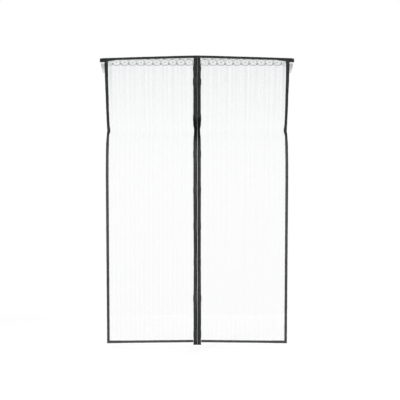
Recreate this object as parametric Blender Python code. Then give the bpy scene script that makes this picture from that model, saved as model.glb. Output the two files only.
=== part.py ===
# Magnetic insect screen for a doorway, as it hangs: two gathered net panels that meet
# between two tape sleeves with magnets sewn into them.
# Metres, +Z up. The wall is behind the screen, towards +Y, and the viewer stands at -Y.
# The origin is the middle of the fastener strip's back face, at the centre of the doorway.
# A place is given by x from the centre, depth forward from the wall, and drop below the crown.

import math

import bmesh
import bpy
from mathutils import Vector
from mathutils.geometry import tessellate_polygon

# Hung size
SCREEN_WIDTH = 1.400          # over the side bindings, at their widest
CORNER_DROP = 2.209           # crown to the hem's outer corners
WING_LENGTH = 0.038           # heading past each side binding

# Material thicknesses
TAPE = 0.0008                 # one leaf of folded tape
NET = 0.0006                  # net wall
LACE = 0.0006                 # lace wall
FASTENER = 0.0012             # fastener strip
GAP = 0.0003                  # clearance between pieces that touch

# Heading
HEADING_HEIGHT = 0.018        # at the centre
WING_HEIGHT = 0.028           # at the wings
WING_RAMP = 0.100             # length over which the heading grows into a wing
ARCH_RISE = 0.018             # crown above the heading over the side bindings
ARCH_POWER = 1.4
WING_DROOP = 0.004            # extra sag of a wing's tip
TOP_TUCK = 0.004              # how far the net and lace stay below the heading's fold
FASTENER_MARGIN = 0.002       # heading visible round the fastener strip

# Side bindings
SIDE_WIDTH = 0.0210
SIDE_FOOT_WIDTH = 0.0185
SIDE_FLARE = 0.0055           # extra width at the top
SIDE_FLARE_REACH = 0.42
OUTER_FLARE = 0.012           # outward lean at the top
OUTER_FLARE_REACH = 0.32
WIDEST_DROP = 0.94
HEM_TAPER = 0.011             # inward lean between the widest place and the hem
SIDE_PULL = 0.0114            # inward pull at the fold
PULL_REACH_UP = 0.12
PULL_REACH_DOWN = 0.07
FOLD_LAP = 0.0026             # extra width where the binding laps over itself at the fold
SIDE_TUCK = 0.007             # depth of net inside a side binding

# Centre sleeves
BAND_WIDTH = 0.056            # over both sleeves
POCKET_BULGE = 0.0015         # each sleeve is this much wider at a magnet
PINCH = 0.0040                # each sleeve is this much narrower at the fold
SLIT = 0.0035                 # parting between the sleeves below the fold
SLIT_FOOT = 0.0020            # parting at the foot
SLEEVE_TAIL = 0.020           # sleeves below the hem
FOOT_FLARE = 0.0020           # each sleeve's cut foot spreads outwards by this
SLEEVE_TUCK = 0.006           # depth of net inside a sleeve
POCKET_RAMP = 0.010           # length over which a pocket closes, along the sleeve
POCKET_SIDE_RAMP = 0.003      # the same across the sleeve
POCKET_EASE = 0.0009          # play across a magnet

# Magnets
MAGNET_LENGTH = 0.040
MAGNET_WIDTH = 0.014
MAGNET_THICKNESS = 0.004
MAGNET_BEVEL = 0.0005
MAGNET_COUNT = 8              # in each sleeve, evenly spaced
MAGNET_FIRST_DROP = 0.202
MAGNET_FOOT_RISE = 0.061      # middle of the last magnet above the hem's lower edge

# Packing fold, left across the whole screen under the second pair of magnets
FOLD_BELOW_MAGNET = 0.100
FOLD_REACH = 0.065
FOLD_DEPTH = 0.012

# Hem
HEM_HEIGHT = 0.0185
HEM_RISE = 0.007              # centre of the hem above its outer corners
HEM_TUCK = 0.003              # net above the hem's fold
HEM_PARTING = 0.005           # bare net between the hem and a sleeve

# Net panels
GATHER_PITCH = 0.0365
GATHER_DEPTH = 0.006          # at the top
GATHER_FADE = 0.75            # drop over which the gathers fade
GATHER_REST = 0.25            # share of the depth that never fades
MOUTH_MARGIN = 0.002          # flat net in front of each binding
MESH_GAP_WIDTH = 0.003        # openwork gap between two gathers
MESH_BAR = 0.050              # solid net between two gaps
LOWER_GAP_ROWS = 5
NET_TOP_BAND = 0.055          # solid net between the lace and the first gaps

# Lace
LACE_DROP = 0.079             # lowest point of a scallop
SCALLOP_PITCH = 0.0615
SCALLOP_DEPTH = 0.016
SCALLOP_FACETS = 5
EYELET_WIDTH = 0.022
EYELET_HEIGHT = 0.009
EYELET_SIDES = 6
EYELET_RISE = 0.017           # eyelet's middle above the scallop's lowest point
GUSSET_WIDTH = 0.030          # lace end that shows outside a side binding
GUSSET_WAIST = 0.016          # its width halfway down
GUSSET_TOP_DROP = 0.063
GUSSET_DROP = 0.150           # its foot
GUSSET_FOOT = 0.004

# Depths of the layers, from the wall forward
HEADING_BACK = FASTENER + GAP
LACE_BACK = HEADING_BACK + TAPE + GAP
BINDING_BACK = LACE_BACK + LACE + GAP
NET_BACK = BINDING_BACK + TAPE + GAP
NET_FRONT = NET_BACK + NET
FRONT_LEAF = NET_FRONT + GAP
FACE = FRONT_LEAF + TAPE
SLOT_BACK = BINDING_BACK + TAPE

CROWN = HEADING_HEIGHT / 2    # height of the crown over the origin
HALF_WIDTH = SCREEN_WIDTH / 2

MATERIALS = {
    "black_tape": ((0.030, 0.031, 0.031), 0.82, 0.0),
    "black_fastener": ((0.018, 0.018, 0.019), 0.95, 0.0),
    "white_net": ((0.86, 0.90, 0.90), 0.75, 0.0),
    "white_lace": ((0.55, 0.56, 0.57), 0.80, 0.0),
    "magnet_rubber": ((0.045, 0.040, 0.038), 0.55, 0.0),
}


def clamp(value):
    return min(1.0, max(0.0, value))


# Magnet and fold places along the sleeves

def hem_low(x):
    return CORNER_DROP - HEM_RISE * (1 - abs(x) / HALF_WIDTH)


SLEEVE_DROP = hem_low(0) + SLEEVE_TAIL
SEAT_HALF = MAGNET_LENGTH / 2 + GAP
POCKET_HALF = SEAT_HALF + POCKET_RAMP
MAGNET_PITCH = (hem_low(0) - MAGNET_FOOT_RISE - MAGNET_FIRST_DROP) / (MAGNET_COUNT - 1)
MAGNET_DROPS = [MAGNET_FIRST_DROP + k * MAGNET_PITCH for k in range(MAGNET_COUNT)]
FOLD_DROP = MAGNET_DROPS[1] + FOLD_BELOW_MAGNET
FOLD_TOP = max(FOLD_DROP - FOLD_REACH, MAGNET_DROPS[1] + POCKET_HALF)
FOLD_FOOT = min(FOLD_DROP + FOLD_REACH, MAGNET_DROPS[2] - POCKET_HALF)


def fold_share(drop):
    # 1 on the fold's crease, 0 beyond its feet
    if drop < FOLD_DROP:
        return clamp((drop - FOLD_TOP) / (FOLD_DROP - FOLD_TOP))
    return clamp((FOLD_FOOT - drop) / (FOLD_FOOT - FOLD_DROP))


def pocket_share(drop):
    # 1 along a magnet's seat, 0 between the pockets
    nearest = min(abs(drop - magnet) for magnet in MAGNET_DROPS)
    return clamp((POCKET_HALF - nearest) / POCKET_RAMP)


def forward(drop):
    return FOLD_DEPTH * fold_share(drop)


# Outlines seen from the front

def side_outer(drop):
    flare = OUTER_FLARE * clamp(1 - drop / OUTER_FLARE_REACH)
    taper = HEM_TAPER * clamp((drop - WIDEST_DROP) / (CORNER_DROP - WIDEST_DROP))
    reach = PULL_REACH_UP if drop < FOLD_DROP else PULL_REACH_DOWN
    pull = SIDE_PULL * math.exp(-abs(drop - FOLD_DROP) / reach)
    return HALF_WIDTH + flare - taper - pull


def side_inner(drop):
    foot = clamp((drop - WIDEST_DROP) / (CORNER_DROP - WIDEST_DROP))
    width = SIDE_WIDTH + (SIDE_FOOT_WIDTH - SIDE_WIDTH) * foot + FOLD_LAP * fold_share(drop)
    return side_outer(drop) - width - SIDE_FLARE * clamp(1 - drop / SIDE_FLARE_REACH)


WING_START = side_outer(0)
HALF_SPAN = WING_START + WING_LENGTH


def arch(x):
    rise = ARCH_RISE * (abs(x) / HALF_WIDTH) ** ARCH_POWER
    return rise + WING_DROOP * clamp((abs(x) - WING_START) / WING_LENGTH) ** 2


def heading_height(x):
    grown = clamp((abs(x) - WING_START + WING_RAMP) / WING_RAMP)
    return HEADING_HEIGHT + (WING_HEIGHT - HEADING_HEIGHT) * grown


def heading_low(x):
    return arch(x) + heading_height(x)


def half_slit(drop):
    parted = GAP + (SLIT - GAP) * clamp((drop - FOLD_TOP) / (FOLD_FOOT - FOLD_TOP))
    last = MAGNET_DROPS[-2] + POCKET_HALF
    closing = clamp((drop - last) / (MAGNET_DROPS[-1] - POCKET_HALF - last))
    return (parted - (SLIT - SLIT_FOOT) * closing) / 2


def sleeve_outer(drop):
    flare = FOOT_FLARE * clamp((drop - hem_low(0)) / SLEEVE_TAIL)
    return BAND_WIDTH / 2 + POCKET_BULGE * pocket_share(drop) - PINCH * fold_share(drop) + flare


def hem_top(x):
    return hem_low(x) - HEM_HEIGHT


# Solid builders

def point(side, x, depth, drop):
    return (side * x, -depth, CROWN - drop)


def make_object(name, vertices, faces, material, smooth=False):
    mesh = bpy.data.meshes.new(name)
    mesh.from_pydata(vertices, [], faces)
    solid = bmesh.new()
    solid.from_mesh(mesh)
    bmesh.ops.recalc_face_normals(solid, faces=solid.faces)
    solid.to_mesh(mesh)
    solid.free()
    if smooth:
        mesh.shade_smooth()
        mesh.set_sharp_from_angle(angle=math.radians(35))
    mesh.materials.append(material)
    item = bpy.data.objects.new(name, mesh)
    bpy.context.scene.collection.objects.link(item)
    return item


def loft(name, rings, material):
    # A closed skin over rings of equal length, with a cap on each end
    count = len(rings[0])
    vertices = [vertex for ring in rings for vertex in ring]
    faces = [tuple(range(count)), tuple(range(len(vertices) - count, len(vertices)))]
    for start in range(0, len(vertices) - count, count):
        for k in range(count):
            after = (k + 1) % count
            faces.append((start + k, start + after, start + count + after, start + count + k))
    return make_object(name, vertices, faces, material, smooth=True)


def plate(name, loops, back, front, material):
    # A flat plate between two depths; the first loop is its outline, the rest are holes
    flat = [Vector((x, drop, 0)) for loop in loops for x, drop in loop]
    triangles = tessellate_polygon([[Vector((x, drop, 0)) for x, drop in loop] for loop in loops])
    count = len(flat)
    vertices = [point(1, p.x, back, p.y) for p in flat] + [point(1, p.x, front, p.y) for p in flat]
    faces = [tuple(triangle) for triangle in triangles]
    faces += [tuple(k + count for k in triangle) for triangle in triangles]
    start = 0
    for loop in loops:
        for k in range(len(loop)):
            here = start + k
            after = start + (k + 1) % len(loop)
            faces.append((here, after, after + count, here + count))
        start += len(loop)
    return make_object(name, vertices, faces, material)


def spread(first, last, steps):
    return [first + (last - first) * k / steps for k in range(steps + 1)]


def make_material(name):
    colour, roughness, metallic = MATERIALS[name]
    material = bpy.data.materials.new(name)
    material.use_nodes = True
    shader = material.node_tree.nodes["Principled BSDF"]
    shader.inputs["Base Color"].default_value = (*colour, 1)
    shader.inputs["Roughness"].default_value = roughness
    shader.inputs["Metallic"].default_value = metallic
    return material


# Heading: tape folded over the top edges of the net and the lace, from a sleeve to a wing's tip

def heading_stations(start, end):
    middle = WING_START - WING_RAMP
    return spread(start, middle, 9) + spread(middle, WING_START, 3)[1:] + spread(WING_START, end, 2)[1:]


def mirrored(stations):
    return [-x for x in reversed(stations[1:])] + stations


def make_heading(name, side, material):
    rings = []
    round_off = TAPE / 2
    for x in heading_stations(sleeve_outer(HEADING_HEIGHT) + GAP, HALF_SPAN):
        top = arch(x)
        low = heading_low(x)
        section = [
            (HEADING_BACK, low), (HEADING_BACK, top + round_off), (HEADING_BACK + round_off, top),
            (FACE - round_off, top), (FACE, top + round_off), (FACE, low),
            (FRONT_LEAF, low), (FRONT_LEAF, top + TAPE), (HEADING_BACK + TAPE, top + TAPE),
            (HEADING_BACK + TAPE, low),
        ]
        rings.append([point(side, x, depth, drop) for depth, drop in section])
    return loft(name, rings, material)


def make_fastener(material):
    rings = []
    for x in mirrored(heading_stations(0, HALF_SPAN - FASTENER_MARGIN)):
        top = arch(x) + FASTENER_MARGIN
        low = heading_low(x) - FASTENER_MARGIN
        section = [(0, top), (FASTENER, top), (FASTENER, low), (0, low)]
        rings.append([point(1, x, depth, drop) for depth, drop in section])
    return loft("fastener_strip", rings, material)


# Lace: one strip behind the net, whose ends show as gussets outside the side bindings

def lace_outline():
    half_pitch = SCALLOP_PITCH / 2
    cusp_drop = LACE_DROP - SCALLOP_DEPTH
    inside = int((WING_START - half_pitch) / SCALLOP_PITCH)
    edge = []
    for k in range(-inside, inside + 1):
        for facet in range(SCALLOP_FACETS):
            turn = math.pi * facet / SCALLOP_FACETS
            across = k * SCALLOP_PITCH - half_pitch * math.cos(turn)
            edge.append((across, cusp_drop + SCALLOP_DEPTH * math.sin(turn)))
    edge.append((inside * SCALLOP_PITCH + half_pitch, cusp_drop))
    foot = side_outer(GUSSET_DROP)
    waist_drop = (GUSSET_TOP_DROP + GUSSET_DROP) / 2
    right = [
        (foot - GUSSET_FOOT, GUSSET_DROP), (foot + GUSSET_FOOT, GUSSET_DROP),
        (side_outer(waist_drop) + GUSSET_WAIST, waist_drop),
        (side_outer(GUSSET_TOP_DROP) + GUSSET_WIDTH, GUSSET_TOP_DROP),
        (side_outer(GUSSET_TOP_DROP) - GUSSET_FOOT, GUSSET_TOP_DROP),
    ]
    left = [(-x, drop) for x, drop in reversed(right)]
    upper = [(x, arch(x) + TAPE + TOP_TUCK) for x in mirrored(heading_stations(0, WING_START - GUSSET_FOOT))]
    return left + edge + right + list(reversed(upper))


def eyelet(centre):
    ring = []
    for k in range(EYELET_SIDES):
        angle = math.tau * k / EYELET_SIDES
        ring.append((centre + EYELET_WIDTH / 2 * math.cos(angle),
                     LACE_DROP - EYELET_RISE + EYELET_HEIGHT / 2 * math.sin(angle)))
    return ring


def make_lace(material):
    inside = int((WING_START - SCALLOP_PITCH / 2) / SCALLOP_PITCH)
    loops = [lace_outline()] + [eyelet(k * SCALLOP_PITCH) for k in range(-inside, inside + 1)]
    return plate("lace_trim", loops, LACE_BACK, LACE_BACK + LACE, material)


# Side binding: tape folded round the net's outer edge, open towards the centre

def make_side_binding(name, side, material):
    top = heading_low(side_outer(0)) + GAP
    low = hem_top(side_inner(CORNER_DROP)) - GAP
    stations = spread(top, FOLD_TOP, 4) + [FOLD_DROP] + spread(FOLD_FOOT, WIDEST_DROP, 3)
    stations += spread(WIDEST_DROP, low, 2)[1:]
    rings = []
    round_off = TAPE / 2
    for drop in stations:
        outer = side_outer(drop)
        inner = side_inner(drop)
        section = [
            (inner, FACE), (outer - round_off, FACE), (outer, FACE - round_off),
            (outer, BINDING_BACK + round_off), (outer - round_off, BINDING_BACK), (inner, BINDING_BACK),
            (inner, SLOT_BACK), (outer - TAPE, SLOT_BACK), (outer - TAPE, FRONT_LEAF), (inner, FRONT_LEAF),
        ]
        ring = []
        for x, depth in section:
            level = heading_low(x) + GAP if drop == top else drop
            ring.append(point(side, x, depth + forward(drop), level))
        rings.append(ring)
    return loft(name, rings, material)


# Centre sleeve: tape folded round the net's inner edge, with a pocket for each magnet

def sleeve_stations():
    stations = [0, FOLD_TOP, FOLD_DROP, FOLD_FOOT, hem_low(0), SLEEVE_DROP]
    for magnet in MAGNET_DROPS:
        stations += [magnet - POCKET_HALF, magnet - SEAT_HALF, magnet + SEAT_HALF, magnet + POCKET_HALF]
    stations.sort()
    return [a for a, b in zip(stations, stations[1:] + [math.inf]) if b - a > GAP]


def make_sleeve(name, side, material):
    rings = []
    for drop in sleeve_stations():
        inner = half_slit(drop)
        outer = sleeve_outer(drop)
        raised = (MAGNET_THICKNESS + 2 * GAP - (FRONT_LEAF - SLOT_BACK)) * pocket_share(drop)
        roof = FRONT_LEAF + raised
        pocket = inner + TAPE + MAGNET_WIDTH + POCKET_EASE
        ramp = min(pocket + POCKET_SIDE_RAMP, outer - GAP)
        section = [
            (outer, FACE), (ramp + TAPE / 2, FACE), (pocket + TAPE / 2, roof + TAPE), (inner, roof + TAPE),
            (inner, BINDING_BACK), (outer, BINDING_BACK), (outer, SLOT_BACK), (inner + TAPE, SLOT_BACK),
            (inner + TAPE, roof), (pocket, roof), (ramp, FRONT_LEAF), (outer, FRONT_LEAF),
        ]
        ring = []
        for x, depth in section:
            level = arch(x) if drop == 0 else drop
            ring.append(point(side, x, depth + forward(drop), level))
        rings.append(ring)
    return loft(name, rings, material)


def make_magnet(name, side, centre, material):
    inner = max(half_slit(centre - SEAT_HALF), half_slit(centre + SEAT_HALF)) + TAPE + GAP
    outer = inner + MAGNET_WIDTH
    back = SLOT_BACK + GAP
    front = back + MAGNET_THICKNESS
    section = [
        (inner, back), (outer, back), (outer, front - MAGNET_BEVEL), (outer - MAGNET_BEVEL, front),
        (inner + MAGNET_BEVEL, front), (inner, front - MAGNET_BEVEL),
    ]
    rings = []
    for drop in (centre - MAGNET_LENGTH / 2, centre + MAGNET_LENGTH / 2):
        rings.append([point(side, x, depth, drop) for x, depth in section])
    return loft(name, rings, material)


# Hem: tape folded round the net's lower edge, open upwards

def make_hem(name, side, material):
    start = max(sleeve_outer(hem_top(0)), sleeve_outer(hem_low(0))) + HEM_PARTING
    end = side_outer(hem_top(HALF_WIDTH))
    rings = []
    round_off = TAPE / 2
    for x in spread(start, end, 6):
        top = hem_top(x)
        low = hem_low(x)
        section = [
            (FACE, top), (FACE, low - round_off), (FACE - round_off, low),
            (BINDING_BACK + round_off, low), (BINDING_BACK, low - round_off), (BINDING_BACK, top),
            (SLOT_BACK, top), (SLOT_BACK, low - TAPE), (FRONT_LEAF, low - TAPE), (FRONT_LEAF, top),
        ]
        rings.append([point(side, x, depth, drop) for depth, drop in section])
    return loft(name, rings, material)


# Net panel: one wall of soft gathers, with openwork gaps in the valleys between them

def gather_depth(drop):
    faded = GATHER_REST + (1 - GATHER_REST) * math.exp(-drop / GATHER_FADE)
    return GATHER_DEPTH * faded


def net_rows():
    # Each row gives its drop as a function of x, its gather share and whether gaps start there
    first = LACE_DROP + NET_TOP_BAND
    last = hem_top(0) - MESH_BAR
    gap_height = (last - FOLD_FOOT - (LOWER_GAP_ROWS - 1) * MESH_BAR) / LOWER_GAP_ROWS
    rows = [
        (lambda x: arch(x) + TAPE + TOP_TUCK, 0, False),
        (lambda x: heading_low(x) + MOUTH_MARGIN, 0, False),
        (lambda x: first, 1, True),
        (lambda x: FOLD_TOP, 1, False),
        (lambda x: FOLD_DROP, 1, False),
    ]
    for k in range(LOWER_GAP_ROWS):
        top = FOLD_FOOT + k * (gap_height + MESH_BAR)
        rows.append((lambda x, drop=top: drop, 1, True))
        rows.append((lambda x, drop=top + gap_height: drop, 1, False))
    rows.append((lambda x: hem_top(x) - MOUTH_MARGIN, 0, False))
    rows.append((lambda x: hem_low(x) - TAPE - HEM_TUCK, 0, False))
    return rows


def net_columns():
    # Each column gives its place between the mouths, its gather share and whether a gap starts there
    clear = SCREEN_WIDTH / 2 - SIDE_WIDTH - BAND_WIDTH / 2 - 2 * MOUTH_MARGIN
    count = max(3, round(clear / GATHER_PITCH))
    half_gap = MESH_GAP_WIDTH / clear / 2
    columns = [(0, 0, False)]
    for k in range(count):
        if k:
            columns.append((k / count - half_gap, 0, True))
            columns.append((k / count + half_gap, 0, False))
        columns.append(((k + 0.5) / count, 1, False))
    columns.append((1, 0, False))
    return columns


def make_net_panel(name, side, material):
    rows = net_rows()
    columns = [(None, 0, False)] + net_columns() + [(None, 0, False)]
    wide = len(columns)
    back = []
    front = []
    for level, row_share, _ in rows:
        sample = level(HALF_WIDTH / 2)
        near = sleeve_outer(sample) + MOUTH_MARGIN
        far = side_inner(sample) - MOUTH_MARGIN
        for index, (place, column_share, _) in enumerate(columns):
            if index == 0:
                x = near - MOUTH_MARGIN - SLEEVE_TUCK
            elif index == wide - 1:
                x = far + MOUTH_MARGIN + SIDE_TUCK
            else:
                x = near + (far - near) * place
            drop = level(x)
            depth = NET_BACK + forward(drop) + gather_depth(drop) * row_share * column_share
            back.append(point(side, x, depth, drop))
            front.append(point(side, x, depth + NET, drop))

    def is_net(row, column):
        if not (0 <= row < len(rows) - 1 and 0 <= column < wide - 1):
            return False
        return not (rows[row][2] and columns[column][2])

    shift = len(back)
    faces = []
    for row in range(len(rows) - 1):
        for column in range(wide - 1):
            if not is_net(row, column):
                continue
            a = row * wide + column
            b = a + 1
            c = b + wide
            d = a + wide
            # Both walls are cut along one diagonal, or a twisted cell's walls would cross
            for p, q, r in ((a, b, c), (a, c, d)):
                faces.append((p, q, r))
                faces.append((r + shift, q + shift, p + shift))
            around = ((a, b, -1, 0), (b, c, 0, 1), (c, d, 1, 0), (d, a, 0, -1))
            for p, q, down, across in around:
                if not is_net(row + down, column + across):
                    faces.append((q, p, p + shift, q + shift))
    return make_object(name, back + front, faces, material, smooth=True)


def build():
    for item in list(bpy.data.objects):
        bpy.data.objects.remove(item, do_unlink=True)
    finish = {name: make_material(name) for name in MATERIALS}
    make_fastener(finish["black_fastener"])
    make_lace(finish["white_lace"])
    for word, side in (("left", -1), ("right", 1)):
        make_heading("heading_" + word, side, finish["black_tape"])
        make_net_panel("net_panel_" + word, side, finish["white_net"])
        make_side_binding("side_binding_" + word, side, finish["black_tape"])
        make_sleeve("centre_sleeve_" + word, side, finish["black_tape"])
        make_hem("bottom_hem_" + word, side, finish["black_tape"])
        for number, drop in enumerate(MAGNET_DROPS, 1):
            make_magnet(f"magnet_{word}_{number}", side, drop, finish["magnet_rubber"])


build()
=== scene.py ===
import math
from functools import partial

import bmesh
import bpy
import numpy as np
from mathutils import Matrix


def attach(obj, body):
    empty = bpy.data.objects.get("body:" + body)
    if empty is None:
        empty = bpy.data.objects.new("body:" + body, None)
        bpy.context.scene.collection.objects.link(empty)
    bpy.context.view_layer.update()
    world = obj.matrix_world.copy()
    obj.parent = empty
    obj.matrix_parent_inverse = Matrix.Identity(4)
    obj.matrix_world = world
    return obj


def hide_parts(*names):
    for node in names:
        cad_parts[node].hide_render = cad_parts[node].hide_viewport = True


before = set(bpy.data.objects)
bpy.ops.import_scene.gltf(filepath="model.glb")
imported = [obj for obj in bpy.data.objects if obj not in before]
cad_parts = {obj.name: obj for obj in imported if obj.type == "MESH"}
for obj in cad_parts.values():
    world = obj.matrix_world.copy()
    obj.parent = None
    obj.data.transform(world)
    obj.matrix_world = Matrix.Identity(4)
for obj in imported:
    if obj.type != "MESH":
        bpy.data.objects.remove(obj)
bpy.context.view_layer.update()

# Magnetic insect screen as it hangs. Metres, +Z up, the wall is towards +Y.
# x runs from the centre, depth runs forward from the wall, drop runs down from the crown.

print("frame loaded,", len(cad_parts), "nodes")

halves = (("left", -1), ("right", 1))
hang = {
    "crown": 0.009, "halfWidth": 0.700, "cornerDrop": 2.209, "widestDrop": 0.94,
    "foldBelow": 0.100, "foldReach": 0.065, "foldDepth": 0.012, "foldBlunt": 0.07
}
# Depths of the layers that the solids keep clear of each other
layer = {
    "headingBack": 0.0019, "lace": 0.0029, "tapeBack": 0.0039, "net": 0.0049, "tapeFront": 0.0059,
    "tapeHalf": 0.0004, "pocketRoof": 0.0093
}
magnet = {
    "first": 0.202, "last": 2.141, "count": 8, "seatHalf": 0.0203, "pocketRamp": 0.010,
    "fullness": (1.5, 1.0, 0.4, 0.2, 0.2, 0.1, 1.0, 0.4)
}


# Curves

def clamp(value, low=0.0, high=1.0):
    return np.clip(value, low, high)


def join(*parts, axis=0):
    return np.concatenate(parts, axis=axis)


def ease(value, low=0.0, high=1.0):
    t = clamp((value - low) / (high - low))
    return t * t * (3 - 2 * t)


def eased(value, stops, levels):
    # smooth steps from level to level, between the stops
    at = np.interp(value, stops, np.arange(len(stops)))
    low = np.minimum(np.floor(at).astype(int), len(stops) - 2)
    share, levels = at - low, np.array(levels)
    return levels[low] + (levels[low + 1] - levels[low]) * share * share * (3 - 2 * share)


def bell(offset, reach, power=2):
    return np.exp(-(offset / reach) ** power)


def between(start, end, share):
    return start + (end - start) * share


def ripple(position, lengths, seed):
    # fixed sine waves added up, from -1 to 1
    draw = np.random.default_rng(seed)
    return sum(np.sin(math.tau * (position / length + draw.random())) for length in lengths) / len(lengths)


# Shapes seen from the front

magnetDrops = np.linspace(magnet["first"], magnet["last"], magnet["count"])
foldDrop = magnetDrops[1] + hang["foldBelow"]


def forward(drop):
    # the packing fold: deepest on its crease, none beyond its feet
    t = np.abs(drop - foldDrop) / hang["foldReach"]
    blunt = hang["foldBlunt"]
    return hang["foldDepth"] * clamp(1 - (np.sqrt(t * t + blunt * blunt) - blunt) / (math.hypot(1, blunt) - blunt))


def fromMagnet(drop):
    return np.min(np.abs(np.asarray(drop)[..., None] - magnetDrops), axis=-1)


def pocketShare(drop):
    return ease(magnet["seatHalf"] + magnet["pocketRamp"] - fromMagnet(drop), 0, magnet["pocketRamp"])


flank = {
    "flare": 0.012, "flareReach": 0.32, "taper": 0.011, "pull": 0.0114, "pullAbove": 0.12, "pullBelow": 0.07,
    "width": 0.0210, "footTaper": 0.0025, "topSpread": 0.0055, "spreadReach": 0.42,
    "lap": ((0.530, 0.575, 0.596, 0.604), (0, 0.0036, 0.0036, 0)),
    # millimetres by which the tape's two edges leave that course
    "leanDrops": (0.0, 0.1, 0.2, 0.35, 0.46, 0.56, 0.62, 0.68, 2.21),
    "outerLean": (1.0, 2.4, 3.0, 2.6, 0.2, 0.0, 0.4, 1.3, 1.7),
    "innerLean": (0.0, 0.4, 2.4, 2.0, 0.2, 0.0, 2.4, 0.5, 0.0),
}


def footShare(drop):
    return clamp((drop - hang["widestDrop"]) / (hang["cornerDrop"] - hang["widestDrop"]))


def sideCourse(drop):
    flare = flank["flare"] * clamp(1 - drop / flank["flareReach"])
    reach = np.where(drop < foldDrop, flank["pullAbove"], flank["pullBelow"])
    pull = flank["pull"] * np.exp(-np.abs(drop - foldDrop) / reach)
    return hang["halfWidth"] + flare - flank["taper"] * footShare(drop) - pull


def sideOuter(drop):
    return sideCourse(drop) + 0.001 * np.interp(drop, flank["leanDrops"], flank["outerLean"])


def sideInner(drop):
    width = flank["width"] - flank["footTaper"] * footShare(drop) + eased(drop, *flank["lap"])
    width = width + flank["topSpread"] * clamp(1 - drop / flank["spreadReach"])
    return sideCourse(drop) - width + 0.001 * np.interp(drop, flank["leanDrops"], flank["innerLean"])


heading = {
    "height": 0.018, "wingHeight": 0.028, "wingRamp": 0.100, "wingLength": 0.038, "wingTrim": 0.0034,
    "wingDroop": 0.0024, "archRise": 0.018, "archPower": 1.4, "archLift": 0.0018, "archLiftReach": 0.2,
    "squared": 0.0032, "squareFrom": -0.014, "squareTo": 0.004
}
wingStart = sideCourse(0.0)
halfSpan = wingStart + heading["wingLength"] - heading["wingTrim"]


def archCourse(x):
    arch = heading["archRise"] * (np.abs(x) / hang["halfWidth"]) ** heading["archPower"]
    return arch - heading["archLift"] * bell(x, heading["archLiftReach"])


def archDrop(x):
    return archCourse(x) + heading["wingDroop"] * clamp((np.abs(x) - wingStart) / heading["wingLength"]) ** 2


def headingLow(x):
    beyond = np.abs(x) - wingStart
    grown = clamp((beyond + heading["wingRamp"]) / heading["wingRamp"])
    squared = heading["squared"] * ease(beyond, heading["squareFrom"], heading["squareTo"])
    return archCourse(x) + between(heading["height"], heading["wingHeight"], grown) + squared


hem = {
    "height": 0.0185, "rise": 0.007, "gap": 0.0016, "broad": 0.0012, "broadFrom": 0.50, "broadTo": 0.64,
    "lift": 0.0011, "liftFrom": 0.034, "liftTo": 0.022, "wearAndHighlight": 0.55
}


def hemLow(x):
    return hang["cornerDrop"] - hem["rise"] * (1 - np.abs(x) / hang["halfWidth"])


def hemTop(x):
    return hemLow(x) - hem["height"]


hemEnd = sideOuter(2.19)


sleeve = {
    "halfWidth": 0.028, "slit": ((0.530, 0.700, 1.80, 2.00), (0.0003, 0.0016, 0.0016, 0.0009)),
    # the solids' own parting, which leaves room for the magnets
    "seatSlit": ((0.514, 0.644, 1.894, 2.111), (0.0003, 0.0035, 0.0035, 0.0020)),
    "seamMet": ((0.514, 0.644), (0.0009, 0.0018)), "seamApart": 0.0036, "seamReach": (0.028, 0.100),
    # narrow behind the lace, a slight swelling just below it, and a spread foot
    "course": ((0.045, 0.080, 2.200, 2.222), (-0.0026, 0, 0, 0.0020)),
    "swell": 0.0026, "swellDrop": 0.097, "swellReach": 0.022, "pocketBulge": 0.0010, "fullBulge": 0.0014,
    "waist": 0.0053, "waistDrop": 0.574, "waistAbove": 0.026, "waistBelow": 0.050,
    "lip": 0.0010, "lipDrop": 0.520, "lipReach": 0.014,
    # millimetres by which the outer edges sway
    "swayDrops": (0.0, 1.1, 1.6, 1.9, 2.0, 2.2),
    "sway": {-1: (0.8, 0.0, -3.0, -0.6, -1.5, -1.5), 1: (1.0, 2.2, 1.5, 3.6, 3.6, 2.6)},
}


def seam(drop):
    # the parting lies right of the middle, less so where the magnets meet
    met = eased(drop, *sleeve["seamMet"])
    return between(met, sleeve["seamApart"], ease(fromMagnet(drop), *sleeve["seamReach"]))


def waist(drop):
    # the packing fold draws the sleeves in, sharply from above
    reach = np.where(drop < sleeve["waistDrop"], sleeve["waistAbove"], sleeve["waistBelow"])
    lip = sleeve["lip"] * bell(drop - sleeve["lipDrop"], sleeve["lipReach"])
    return sleeve["waist"] * bell(drop - sleeve["waistDrop"], reach) - lip


def sleeveOuter(drop, side):
    sway = 0.001 * np.interp(drop, sleeve["swayDrops"], sleeve["sway"][side])
    swell = eased(drop, *sleeve["course"]) + sleeve["swell"] * bell(drop - sleeve["swellDrop"], sleeve["swellReach"])
    fullness = np.interp(drop, magnetDrops, magnet["fullness"])
    pocket = (sleeve["pocketBulge"] + sleeve["fullBulge"] * fullness) * pocketShare(drop)
    return sleeve["halfWidth"] + sway + swell + pocket - waist(drop)


def place(side, x, depth, drop):
    # frame coordinates of x, depth and drop
    x, depth, drop = np.broadcast_arrays(x, depth, drop)
    return np.stack([side * x, -depth, hang["crown"] - drop], axis=-1)


# Mesh and node helpers

def link(name, data):
    item = bpy.data.objects.new(name, data)
    bpy.context.scene.collection.objects.link(item)
    return item


def rawMesh(name, vertices, edges, faces):
    mesh = bpy.data.meshes.new(name)
    mesh.from_pydata(np.asarray(vertices).reshape(-1, 3).tolist(), edges, faces)
    return mesh


def setMarks(mesh, marks, kind="FLOAT", field="value"):
    for name, values in marks.items():
        data = mesh.attributes.new(name, kind, "POINT").data
        data.foreach_set(field, np.asarray(values, np.float32).ravel())


def gridFaces(rows, columns):
    return [(a, a + 1, a + columns + 1, a + columns)
            for r in range(rows - 1) for a in range(r * columns, (r + 1) * columns - 1)]


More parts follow.
